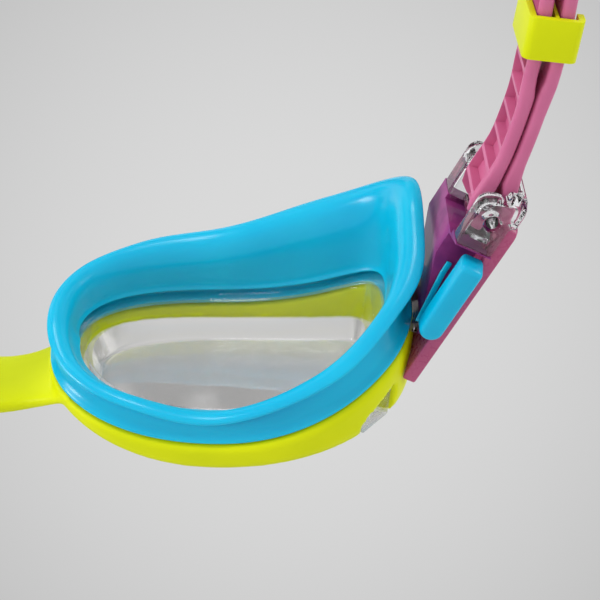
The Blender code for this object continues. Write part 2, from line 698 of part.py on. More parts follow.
def make_keeper(name, side):
    """A clip round both layers: a box with a middle wall, open in its outer side."""
    middle, ahead = keeper_frame()
    across = Vector((ahead.y, -ahead.x))
    clear = KEEPER_CLEARANCE
    half_n = 0.5 * KEEPER_LAYER_GAP + STRAP_THICKNESS + clear
    half_z = 0.5 * STRAP_WIDTH + clear
    rib = 0.5 * KEEPER_LAYER_GAP - clear
    wall = KEEPER_WALL
    slot = 0.5 * KEEPER_SLOT
    corner = KEEPER_CORNER
    points = [(half_n, slot), (half_n, half_z), (rib, half_z)]
    points += [(rib, -half_z), (half_n, -half_z), (half_n, -slot), (half_n + wall, -slot)]
    points += arc((half_n + wall - corner, -half_z - wall + corner), corner, 0, -90, 4)
    points += arc((-half_n - wall + corner, -half_z - wall + corner), corner, -90, -180, 4)
    points += arc((-half_n - wall + corner, half_z + wall - corner), corner, 180, 90, 4)
    points += arc((half_n + wall - corner, half_z + wall - corner), corner, 90, 0, 4)
    points += [(half_n + wall, slot)]
    rings = []
    for along in (-0.5 * KEEPER_LENGTH, 0.5 * KEEPER_LENGTH):
        ring = [middle + ahead * along + across * n for n, z in points]
        rings.append([Vector((side * p.x, p.y, z)) for p, (n, z) in zip(ring, points)])
    shape = bmesh.new()
    loops = [[shape.verts.new(p) for p in ring] for ring in rings]
    count = len(points)
    for i in range(count):
        j = (i + 1) % count
        shape.faces.new((loops[0][i], loops[0][j], loops[1][j], loops[1][i]))
    for loop in loops:
        shape.faces.new(loop)
    inner_room = [(-half_n, -half_z), (-rib, -half_z), (-rib, half_z), (-half_n, half_z)]
    room = []
    for along in (-KEEPER_LENGTH, KEEPER_LENGTH):
        ring = [middle + ahead * along + across * n for n, z in inner_room]
        room.append([Vector((side * p.x, p.y, z)) for p, (n, z) in zip(ring, inner_room)])
    origin = Vector((side * middle.x, middle.y, 0.0))
    keeper = add_object(f"strap_keeper_{name}", shape, "lime_tpe", origin)
    cut(keeper, f"helper_keeper_room_{name}", loft(room, False))
    smooth(keeper, 30)


def set_down():
    """Move every object so that the origin is under the middle of the whole, at its lowest point."""
    bpy.context.view_layer.update()
    graph = bpy.context.evaluated_depsgraph_get()
    low, high = Vector((1, 1, 1)), Vector((-1, -1, -1))
    for obj in bpy.context.scene.objects:
        if obj.hide_render:
            continue
        for corner in obj.evaluated_get(graph).bound_box:
            point = obj.matrix_world @ Vector(corner)
            low = Vector(map(min, low, point))
            high = Vector(map(max, high, point))
    move = Vector((0.0, -0.5 * (low.y + high.y), -low.z))
    for obj in bpy.context.scene.objects:
        obj.location += move


def main():
    clear_scene()
    make_frame()
    for name, side in SIDES.items():
        make_lens(name, side)
        make_seal(name, side)
        make_arm(name, side)
        make_pin(name, side)
        make_cover(name, side)
        make_button(name, side)
        make_spring_leg(name, side)
        make_pawl(name, side)
        make_keeper(name, side)
    make_strap()
    set_down()


main()
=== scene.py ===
"""Looks for a pair of swim goggles: soft frame, clear cups, flared seals, buckles and a strap.

The pieces are first laid out as they are designed: the right cup at -X, the lenses facing -Y,
heights counted from the middle of the cups and depths from the face. Layout moves each point to
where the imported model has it.
"""

import logging
import math
from dataclasses import dataclass, field
from enum import Enum
from typing import Callable, Sequence

import bmesh
import bpy
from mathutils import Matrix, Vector


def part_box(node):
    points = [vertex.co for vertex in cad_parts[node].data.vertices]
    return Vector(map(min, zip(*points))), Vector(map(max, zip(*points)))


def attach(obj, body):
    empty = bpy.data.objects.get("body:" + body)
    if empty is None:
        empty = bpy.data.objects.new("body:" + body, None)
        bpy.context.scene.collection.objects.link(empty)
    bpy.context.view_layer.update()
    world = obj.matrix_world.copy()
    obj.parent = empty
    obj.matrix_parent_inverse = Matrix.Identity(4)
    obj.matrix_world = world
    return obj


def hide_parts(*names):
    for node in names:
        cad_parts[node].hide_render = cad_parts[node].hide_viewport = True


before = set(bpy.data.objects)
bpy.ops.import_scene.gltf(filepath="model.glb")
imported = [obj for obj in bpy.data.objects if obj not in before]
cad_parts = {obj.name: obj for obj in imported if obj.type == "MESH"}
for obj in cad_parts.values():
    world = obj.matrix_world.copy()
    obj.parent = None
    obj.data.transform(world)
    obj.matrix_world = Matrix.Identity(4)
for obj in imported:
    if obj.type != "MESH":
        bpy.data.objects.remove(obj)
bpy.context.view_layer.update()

log = logging.getLogger("goggles")
MM = 0.001
Colour = tuple[float, float, float, float]


class Side(Enum):
    """The wearer's two sides, with the sign of X on each."""

    RIGHT = -1
    LEFT = 1

    @property
    def label(self) -> str:
        """The side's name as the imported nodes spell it."""
        return self.name.lower()


# ---------------------------------------------------------------- finishes


def linear(hex_colour: str) -> Colour:
    """Turn an sRGB hex colour into linear light.

    Args:
        hex_colour: six hex digits.

    Returns:
        Red, green, blue and an alpha of one.
    """
    parts = [int(hex_colour[i : i + 2], 16) / 255 for i in (0, 2, 4)]
    red, green, blue = (p / 12.92 if p < 0.04045 else ((p + 0.055) / 1.055) ** 2.4 for p in parts)
    return red, green, blue, 1.0


def add_node(
    tree: bpy.types.NodeTree,
    kind: str,
    settings: dict[str, object],
    links: dict[str, bpy.types.NodeSocket],
) -> bpy.types.Node:
    """Add one node with its settings and links.

    Args:
        tree: the material's node tree.
        kind: Blender's name of the node type.
        settings: values for the node's sockets or, where it has no such socket, its properties.
        links: the socket that feeds each named input.

    Returns:
        The new node.
    """
    node = tree.nodes.new(kind)
    for name, value in settings.items():
        if name in node.inputs:
            node.inputs[name].default_value = value
        else:
            setattr(node, name, value)
    for name, source in links.items():
        tree.links.new(source, node.inputs[name])
    return node


@dataclass(frozen=True)
class Finish:
    """A moulded plastic or rubber: faint colour clouds, uneven gloss and a fine surface ripple.

    Light and deep are the clouds' two colours. Cloud, grain and ripple give the size of the clouds,
    the width of the surface's waves and their height, in millimetres. The name differs from every
    packed material's, because a packed one would be taken in its place.
    """

    name: str
    light: str
    deep: str
    roughness: float
    cloud_mm: float
    grain_mm: float
    ripple_mm: float
    ior: float = 1.5
    subsurface: float = 0.0
    transmission: float = 0.0
    alpha: float = 1.0
    coat: float = 0.0
    uneven: float = 0.06
    detail: float = 4.0
    glow_depth: float = 1.2 * MM
    coat_roughness: float = 0.08

    def material(self) -> bpy.types.Material:
        """Make the material, or return the one already made."""
        known = bpy.data.materials.get(self.name)
        if known:
            return known
        made = bpy.data.materials.new(self.name)
        made.use_nodes = True
        tree = made.node_tree
        shader = tree.nodes["Principled BSDF"]
        place = add_node(tree, "ShaderNodeTexCoord", {}, {}).outputs["Object"]
        self.colour(tree, shader, place)
        self.gloss(tree, shader, place)
        values = {
            "IOR": self.ior,
            "Subsurface Weight": self.subsurface,
            "Subsurface Radius": (1.0, 1.0, 1.0),
            "Subsurface Scale": self.glow_depth,
            "Transmission Weight": self.transmission,
            "Alpha": self.alpha,
            "Coat Weight": self.coat,
            "Coat Roughness": self.coat_roughness,
        }
        for socket, value in values.items():
            shader.inputs[socket].default_value = value
        return made

    def colour(self, tree: bpy.types.NodeTree, shader: bpy.types.Node, place: bpy.types.NodeSocket) -> None:
        """Feed the base colour from slow clouds of pigment.

        Args:
            tree: the material's node tree.
            shader: its Principled shader.
            place: the coordinates to read.
        """
        cloud = {"Scale": 1 / (self.cloud_mm * MM), "Detail": 3.0, "Roughness": 0.5}
        noise = add_node(tree, "ShaderNodeTexNoise", cloud, {"Vector": place})
        ramp = add_node(tree, "ShaderNodeValToRGB", {}, {"Fac": noise.outputs["Fac"]})
        first, last = ramp.color_ramp.elements
        first.position, first.color = 0.3, linear(self.deep)
        last.position, last.color = 0.7, linear(self.light)
        tree.links.new(ramp.outputs["Color"], shader.inputs["Base Color"])

    def gloss(self, tree: bpy.types.NodeTree, shader: bpy.types.Node, place: bpy.types.NodeSocket) -> None:
        """Vary the roughness with a fine grain and lift the surface by the same grain.

        Args:
            tree: the material's node tree.
            shader: its Principled shader.
            place: the coordinates to read.
        """
        grain = {"Scale": 1 / (self.grain_mm * MM), "Detail": self.detail, "Roughness": 0.6}
        noise = add_node(tree, "ShaderNodeTexNoise", grain, {"Vector": place}).outputs["Fac"]
        low = max(0.0, self.roughness - self.uneven)
        spread = {"To Min": low, "To Max": self.roughness + self.uneven}
        rough = add_node(tree, "ShaderNodeMapRange", spread, {"Value": noise})
        tree.links.new(rough.outputs["Result"], shader.inputs["Roughness"])
        lift = {"Strength": 0.5, "Distance": self.ripple_mm * MM}
        bump = add_node(tree, "ShaderNodeBump", lift, {"Height": noise})
        tree.links.new(bump.outputs["Normal"], shader.inputs["Normal"])


# Thermoplastic elastomer: saturated to the edge, and its satin skin hardly reflects
LIME_TPE = Finish("lime_tpe_satin", "DCE400", "D2DC00", 0.42, 14, 0.5, 0.02, 1.25, 0.1)
# Liquid silicone rubber from a polished mould: soft broad highlights, a glow in its thin lip
CYAN_SILICONE = Finish("cyan_silicone_gloss", "0ABCE0", "03B2DA", 0.24, 16, 2.2, 0.02, 1.35, 0.45, coat=0.1)
# Clear polycarbonate: its high index bends the room into bright and dark bands at every rounding
CLEAR_PC = Finish("polished_clear_polycarbonate", "FCFDFE", "FAFBFD", 0.0, 20, 4.0, 0.03, 1.585,
                  transmission=1.0, uneven=0.0, detail=0.0)
# The lens cup is the same resin in a thin wall, which mostly lets the view straight through
LENS_PC = Finish("lens_polycarbonate", "E0DEDB", "DCDAD7", 0.03, 24, 4.0, 0.003, 1.585,
                 transmission=1.0, alpha=0.45, uneven=0.01)
# The arm's body carries painted refraction and shade: the plate moulded on it, as seen through the clear
# resin, made deep purple for the shade inside, under a clear gloss
PURPLE_SEEN_THROUGH_PC = Finish("purple_plate_seen_through_painted", "9A3F82", "6A2C66", 0.12, 5, 0.8, 0.01, 1.15, 0.1)
# Tinted polycarbonate plate: deep magenta with a hard gloss
MAGENTA_PC = Finish("tinted_magenta_polycarbonate", "B8527E", "A8446F", 0.28, 12, 0.8, 0.01, 1.4, 0.1,
                    coat=0.2)
# Silicone strap, dusted so that it doesn't stick: matt, soft
PINK_SILICONE = Finish("pink_silicone_matt", "D06E98", "C6648F", 0.38, 10, 0.35, 0.02, 1.43, 0.15)


# ---------------------------------------------------------------- shared shape tools


def skin(
    stations: int,
    rows: int,
    point: Callable[[int, int], Vector],
    capped: bool = False,
) -> bmesh.types.BMesh:
    """Bend a flat grid onto a surface, and close it where its edges meet.

    Args:
        stations: faces along the first direction.
        rows: faces along the second.
        point: where grid point (i, j) goes.
        capped: whether its open ends are filled.

    Returns:
        The surface, its faces outward.
    """
    shape = bmesh.new()
    bmesh.ops.create_grid(shape, x_segments=stations, y_segments=rows, size=0.5)
    for vert in shape.verts:
        vert.co = point(round((vert.co.x + 0.5) * stations), round((vert.co.y + 0.5) * rows))
    bmesh.ops.remove_doubles(shape, verts=shape.verts, dist=1e-6)
    if capped:
        bmesh.ops.holes_fill(shape, edges=[e for e in shape.edges if e.is_boundary], sides=0)
    bmesh.ops.recalc_face_normals(shape, faces=shape.faces)
    return shape


def round_edges(shape: bmesh.types.BMesh, width: float, segments: int = 3, sharp: float = 35) -> None:
    """Round every edge of a shape that turns by more than an angle.

    Args:
        shape: the mesh to change.
        width: the rounding's width in metres.
        segments: how many faces make the rounding.
        sharp: the least angle in degrees.
    """
    edges = [e for e in shape.edges if e.is_manifold and e.calc_face_angle(0.0) > math.radians(sharp)]
    bmesh.ops.bevel(shape, geom=edges, offset=width, offset_type="OFFSET", segments=segments,
                    profile=0.5, affect="EDGES", material=-1, clamp_overlap=True)


def cad_copy(node: str) -> bmesh.types.BMesh:
    """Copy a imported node's mesh, merged, with its flat faces made whole.

    Args:
        node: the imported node's name.

    Returns:
        The copy.
    """
    shape = bmesh.new()
    shape.from_mesh(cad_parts[node].data)
    bmesh.ops.remove_doubles(shape, verts=shape.verts, dist=1e-6)
    bmesh.ops.dissolve_limit(shape, angle_limit=math.radians(1), verts=shape.verts, edges=shape.edges)
    return shape


def add_piece(
    name: str,
    shape: bmesh.types.BMesh,
    finish: Finish,
    body: str,
    nodes: Sequence[str],
    slot: str,
    soften: int = 0,
    crease: float = 40,
) -> bpy.types.Object:
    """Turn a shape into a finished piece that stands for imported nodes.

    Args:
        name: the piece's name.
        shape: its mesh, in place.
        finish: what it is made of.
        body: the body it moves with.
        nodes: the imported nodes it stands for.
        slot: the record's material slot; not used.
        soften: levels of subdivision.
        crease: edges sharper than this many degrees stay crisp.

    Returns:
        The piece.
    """
    mesh = bpy.data.meshes.new(name)
    shape.to_mesh(mesh)
    shape.free()
    if "custom_normal" in mesh.attributes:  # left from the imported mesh, and wrong once it is rounded
        mesh.attributes.remove(mesh.attributes["custom_normal"])
    mesh.materials.append(finish.material())
    piece = bpy.data.objects.new(name, mesh)
    bpy.context.scene.collection.objects.link(piece)
    mesh.shade_smooth()
    if soften:
        step = piece.modifiers.new("soften", "SUBSURF")
        step.levels = step.render_levels = soften
    else:
        mesh.set_sharp_from_angle(angle=math.radians(crease))
    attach(piece, body)
    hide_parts(*nodes)
    log.info("%s: %d faces, moves with %s", name, len(mesh.polygons), body)
    return piece


def helper(name: str, shape: bmesh.types.BMesh) -> bpy.types.Object:
    """Hold a shape in an object that is only used to make another."""
    mesh = bpy.data.meshes.new(name)
    shape.to_mesh(mesh)
    shape.free()
    made = bpy.data.objects.new(name, mesh)
    bpy.context.scene.collection.objects.link(made)
    return made


def melted(
    shapes: Sequence[bmesh.types.BMesh],
    cutters: Sequence[bmesh.types.BMesh],
    voxel: float,
    passes: int,
) -> bmesh.types.BMesh:
    """Grow closed shapes together into one soft skin.

    Args:
        shapes: overlapping closed meshes, which are used up.
        cutters: closed meshes cut from the whole, which are used up.
        voxel: the skin's face size in metres.
        passes: how often it is smoothed.

    Returns:
        The joined skin.
    """
    mesh = bpy.data.meshes.new("melting")
    whole = bmesh.new()
    for shape in shapes:
        shape.to_mesh(mesh)
        whole.from_mesh(mesh)
        shape.free()
    rough = helper("melting", whole)
    bpy.data.meshes.remove(mesh)
    first = rough.modifiers.new("join", "REMESH")
    first.mode = "VOXEL"
    first.voxel_size = voxel
    tools = [helper("cutter", shape) for shape in cutters]
    for tool in tools:
        cut = rough.modifiers.new("cut", "BOOLEAN")
        cut.object = tool
        cut.solver = "EXACT"
    grown = rough.modifiers.new("grow", "REMESH")
    grown.mode = "VOXEL"
    grown.voxel_size = voxel
    even = rough.modifiers.new("even", "SMOOTH")
    even.factor = 0.5
    even.iterations = passes
    ready = rough.evaluated_get(bpy.context.evaluated_depsgraph_get())
    skin_mesh = bpy.data.meshes.new_from_object(ready)
    joined = bmesh.new()
    joined.from_mesh(skin_mesh)
    for done in (rough, *tools):
        bpy.data.objects.remove(done)
    bpy.data.meshes.remove(skin_mesh)
    return joined


def around(values: Sequence[float], angle: float) -> float:
    """Read a smooth closed curve through values spaced evenly round the cup.

    Args:
        values: the curve's values, from the temple over the top.
        angle: where to read it, in radians.

    Returns:
        The value there.
    """
    place = angle / (2 * math.pi) * len(values)
    first = math.floor(place)
    t = place - first
    before, start, end, after = (values[(first + i) % len(values)] for i in (-1, 0, 1, 2))
    bend = 2 * before - 5 * start + 4 * end - after
    twist = 3 * (start - end) + after - before
    return start + 0.5 * t * (end - before + t * (bend + t * twist))


def ease(t: float) -> float:
    """Rise smoothly from 0 to 1 as t does."""
    t = min(1.0, max(0.0, t))
    return t * t * (3 - 2 * t)


# ---------------------------------------------------------------- layout


@dataclass
class Arm:
    """The side arm's own frame: s runs back along it, n outwards, z up."""

    start_out: float = 69.9 * MM
    start_y: float = -11.4 * MM
    angle: float = math.radians(27)
    pin_at: float = 33.8 * MM
    pin_depth: float = -4.8 * MM
    pin_radius: float = 1.0 * MM

    def plan(self, s: float, n: float) -> Vector:
        """Give (out, y) of a place on the arm."""
        out = self.start_out + s * math.sin(self.angle) + n * math.cos(self.angle)
        return Vector((out, self.start_y + s * math.cos(self.angle) - n * math.sin(self.angle)))

    def pin(self) -> Vector:
        """Give (out, y) of the strap pin."""
        return self.plan(self.pin_at, self.pin_depth)


@dataclass
class Layout:
    """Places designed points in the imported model, from where it has the strap's pin."""

    arm: Arm = field(default_factory=Arm)
    shift: Vector = field(init=False)

    def __post_init__(self) -> None:
        """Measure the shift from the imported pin."""
        low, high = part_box("strap_pin_left")
        pin = self.arm.pin()
        middle = 0.5 * (low + high)
        self.shift = Vector((middle.x - pin.x, middle.y - pin.y, middle.z))

    def world(self, side: Side, out: float, y: float, z: float) -> Vector:
        """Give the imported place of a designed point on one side."""
        return Vector((side.value * out, y, z)) + Vector((0, self.shift.y, self.shift.z))


# ---------------------------------------------------------------- eye cups


@dataclass
class CupForm:
    """The rounded outline of one cup and the planes that wrap and lean with the face."""

    centre: float = 39.5 * MM
    half_temple: float = 28.4 * MM
    half_nose: float = 26.5 * MM
    half_height: float = 16.5 * MM
    # Every 30 degrees from the temple over the top
    squareness: tuple[float, ...] = (2.4, 4.4, 2.7, 2.3, 2.3, 2.3, 2.3, 2.3, 2.3, 2.3, 2.3, 2.3)
    lean: float = 0.115
    flange_depth: float = -10.15 * MM
    flange_wrap_temple: float = 11.7
    flange_wrap_nose: float = 4.0
    front_depth: float = -17.4 * MM
    front_wrap_temple: float = 5.3
    front_wrap_nose: float = 7.0
    lens_depth: float = -18.3 * MM
    lens_wrap: float = 4.0
    gap: float = 0.3 * MM
    flange_thickness: float = 1.0 * MM
    flange_width: float = 2.2 * MM
    draft: float = 1.2 * MM
    strip: float = 0.7 * MM
    lap: float = 1.2 * MM

    def outline(self, angle: float, grow: float) -> tuple[float, float]:
        """Give (out, z) on the flange's outline, grown by a distance."""
        halves = (self.half_temple, self.half_nose, self.half_height)
        return self.rounded(angle, *(h + grow for h in halves), around(self.squareness, angle))

    def rounded(
        self, angle: float, temple: float, nose: float, high: float, power: float
    ) -> tuple[float, float]:
        """Give (out, z) on a rounded outline about the cup's centre.

        Args:
            angle: 0 at the temple, a quarter turn at the top.
            temple: half width on the temple side.
            nose: half width on the nose side.
            high: half height.
            power: 2 for an ellipse, more for squarer corners.

        Returns:
            The place on the outline.
        """
        half = temple if math.cos(angle) > 0 else nose
        across, up = half * math.cos(angle), high * math.sin(angle)
        scale = (abs(across / half) ** power + abs(up / high) ** power) ** (-1 / power)
        return self.centre + across * scale, up * scale

    def bent(self, out: float, z: float, depth: float, temple: float, nose: float) -> float:
        """Give Y of a plane that wraps back on both sides and leans back at the top."""
        offset = out - self.centre
        return depth + (temple if offset > 0 else nose) * offset**2 + self.lean * z

    def flange(self, out: float, z: float) -> float:
        """Give Y of the lens flange's rear face."""
        return self.bent(out, z, self.flange_depth, self.flange_wrap_temple, self.flange_wrap_nose)

    def front(self, out: float, z: float) -> float:
        """Give Y of the frame's front face."""
        return self.bent(out, z, self.front_depth, self.front_wrap_temple, self.front_wrap_nose)

    def pane(self, out: float, z: float) -> float:
        """Give Y of the lens's front face."""
        return self.bent(out, z, self.lens_depth, self.lens_wrap, self.lens_wrap)


@dataclass
class EyeCup:
    """One clear lens cup with its face seal."""

    side: Side
    layout: Layout
    form: CupForm = field(default_factory=CupForm)
    stations: int = 120
    wall: float = 1.7 * MM
    corner: float = 0.35 * MM
    shoulder: float = 0.6 * MM  # rounding between the pane and the side wall
    seal_stations: int = 84
    seal_wall: float = 1.5 * MM
    seal_tip: float = 1.0 * MM
    seal_inset: float = 2.6 * MM
    top_trim: float = 1.5 * MM  # how much narrower the seal's foot is over the top
    seal_temple: float = 32.3 * MM
    seal_nose: float = 29.1 * MM
    seal_high: float = 20.0 * MM
    seal_low: float = 18.8 * MM
    seal_lap: float = 2.5 * MM
    foot: float = 0.9 * MM  # height of the seal's foot behind the flange
    toe: float = 0.4 * MM  # height of its inner edge
    base_grow: float = -0.7 * MM
    least_crest: float = 1.0 * MM
    neck_grow: float = -0.4 * MM
    crest: float = 0.8 * MM
    # Every 30 degrees from the temple, over the top, the nose and the bottom, in millimetres
    rim_depths: tuple[float, ...] = (12.8, 16.6, 8.6, 1.9, 0.4, -0.8, -2.9, -6.7, -8.4, -10.2, -3.9, 5.8)
    rim_squareness: tuple[float, ...] = (3.0, 4.0, 4.0, 2.6, 2.1, 2.1, 2.1, 2.1, 2.2, 2.4, 2.4, 2.2)

    def build(self) -> None:
        """Make the lens and the seal."""
        label = self.side.label
        add_piece(f"lens_cup_{label}", self.lens(), LENS_PC, "root", [f"lens_{label}"],
                  "clear_polycarbonate", crease=50)
        add_piece(f"seal_{label}", self.seal(), CYAN_SILICONE, "root", [f"face_seal_{label}"],
                  "cyan_silicone", soften=2)

    def lens(self) -> bmesh.types.BMesh:
        """Make the cup: a curved front pane, its side wall and a flange behind."""
        form = self.form
        wall = -form.flange_width
        inside = wall - self.wall
        shoulder, round_by = self.shoulder, self.corner
        panes = (0.0, 0.25, 0.5, 0.7, 0.85, 0.95)
        outer = [(wall - form.draft - shoulder, share, form.pane, 0.0) for share in panes]
        wall_rows = [
            (wall - form.draft - shoulder, 1.0, form.pane, 0.0),
            (wall - form.draft - 0.3 * shoulder, 1.0, form.pane, 0.12 * shoulder),
            (wall - form.draft, 1.0, form.pane, 0.7 * shoulder),
            (wall, 1.0, form.flange, -form.flange_thickness - round_by),
            (wall + round_by, 1.0, form.flange, -form.flange_thickness),
            (-round_by, 1.0, form.flange, -form.flange_thickness),
            (0.0, 1.0, form.flange, -form.flange_thickness + 0.5 * round_by),
            (0.0, 1.0, form.flange, -0.5 * round_by),
            (-round_by, 1.0, form.flange, 0.0),
            (inside + round_by, 1.0, form.flange, 0.0),
            (inside, 1.0, form.flange, -round_by),
            (inside - form.draft, 1.0, form.pane, self.wall + 1.2 * shoulder),
            (inside - form.draft - 0.4 * shoulder, 1.0, form.pane, self.wall + 0.3 * shoulder),
            (inside - form.draft - 1.2 * shoulder, 1.0, form.pane, self.wall),
        ]
        pane_edge = inside - form.draft - 1.2 * shoulder
        inner = [(pane_edge, share, form.pane, self.wall) for share in panes[::-1]]
        rows = outer + wall_rows + inner

        def point(i: int, j: int) -> Vector:
            """Give the place of one grid point."""
            grow, share, plane, back = rows[j]
            out, z = form.outline(2 * math.pi * (i % self.stations) / self.stations, grow)
            out, z = form.centre + (out - form.centre) * share, z * share
            return self.layout.world(self.side, out, plane(out, z) + back, z)

        return skin(self.stations, len(rows) - 1, point)

    def seal(self) -> bmesh.types.BMesh:
        """Make the seal, one closed section carried round the cup."""
        turns = [2 * math.pi * i / self.seal_stations for i in range(self.seal_stations)]
        sections = [self.seal_section(turn) for turn in turns]
        rows = len(sections[0])
        return skin(self.seal_stations, rows,
                    lambda i, j: self.layout.world(self.side, *sections[i % self.seal_stations][j % rows]))

    def seal_section(self, angle: float) -> list[tuple[float, float, float]]:
        """Give the seal's section at one angle.

        Args:
            angle: 0 at the temple, a quarter turn at the top.

        Returns:
            Points (out, y, z): the strip in front, the channel on the flange, the lip behind.
        """
        form = self.form
        power = around(self.rim_squareness, angle)
        high = self.seal_high if math.sin(angle) > 0 else self.seal_low
        rim_out, rim_z = form.rounded(angle, self.seal_temple, self.seal_nose, high, power)
        rim = Vector((rim_out, around(self.rim_depths, angle) * MM, rim_z))
        base_out, base_z = form.outline(angle, self.base_grow)
        base = Vector((base_out, form.flange(base_out, base_z) + form.gap, base_z))
        neck_out, neck_z = form.outline(angle, self.neck_grow)
        crest = max(rim.y + self.crest, base.y + self.least_crest)
        low_neck = Vector((neck_out, base.y + 0.6 * (crest - base.y), neck_z))
        neck = Vector((neck_out, crest, neck_z))
        radial = Vector((rim.x - form.centre, 0.0, rim.z)).normalized()

        def lip(t: float, aside: float) -> Vector:
            """Give a point beside the lip's middle line, t from its foot to its edge."""
            point = (base * (1 - t) ** 3 + low_neck * 3 * t * (1 - t) ** 2
                     + neck * 3 * t**2 * (1 - t) + rim * t**3)
            ahead = ((low_neck - base) * (1 - t) ** 2 + (neck - low_neck) * 2 * t * (1 - t)
                     + (rim - neck) * t**2)
            across = Vector((ahead.dot(radial), ahead.y)).normalized()
            return point + (radial * across.y - Vector((0, across.x, 0))) * aside

        def at(grow: float, back: float) -> Vector:
            """Give a point beside the flange, behind its rear face."""
            out, z = form.outline(angle, grow)
            return Vector((out, form.flange(out, z) + back, z))

        inner = -form.flange_width + form.gap
        strip_rear = -form.flange_thickness - form.gap
        half, tip = 0.5 * self.seal_wall, 0.5 * self.seal_tip
        inset = self.seal_inset - self.top_trim * max(0.0, math.sin(angle)) ** 0.5
        points = [
            at(self.seal_lap, strip_rear - form.strip),
            at(0.5 * (inner + self.seal_lap), strip_rear - form.strip),
            at(inner, strip_rear - form.strip),
            at(inner, strip_rear),
            at(form.gap, strip_rear),
            at(form.gap, form.gap),
            at(-0.5 * inset, form.gap),
            at(-inset, form.gap),
            at(-inset + 0.1 * MM, form.gap + self.toe),
            at(-inset + 0.6 * MM, form.gap + self.foot),
        ]
        points += [lip(t, -half) for t in (0.3, 0.42, 0.54, 0.66, 0.78, 0.88)]
        points += [lip(0.96, -tip), lip(1.0, -0.5 * tip), lip(1.0, 0.5 * tip), lip(0.96, tip)]
        points += [lip(t, half) for t in (0.86, 0.74, 0.62, 0.5, 0.38)]
        points += [at(form.lap, form.gap + self.foot)]
        points += [at(form.lap + 0.2 * MM, -0.4 * form.flange_thickness)]
        points += [at(self.seal_lap, strip_rear)]
        return [tuple(p) for p in points]


# ---------------------------------------------------------------- frame


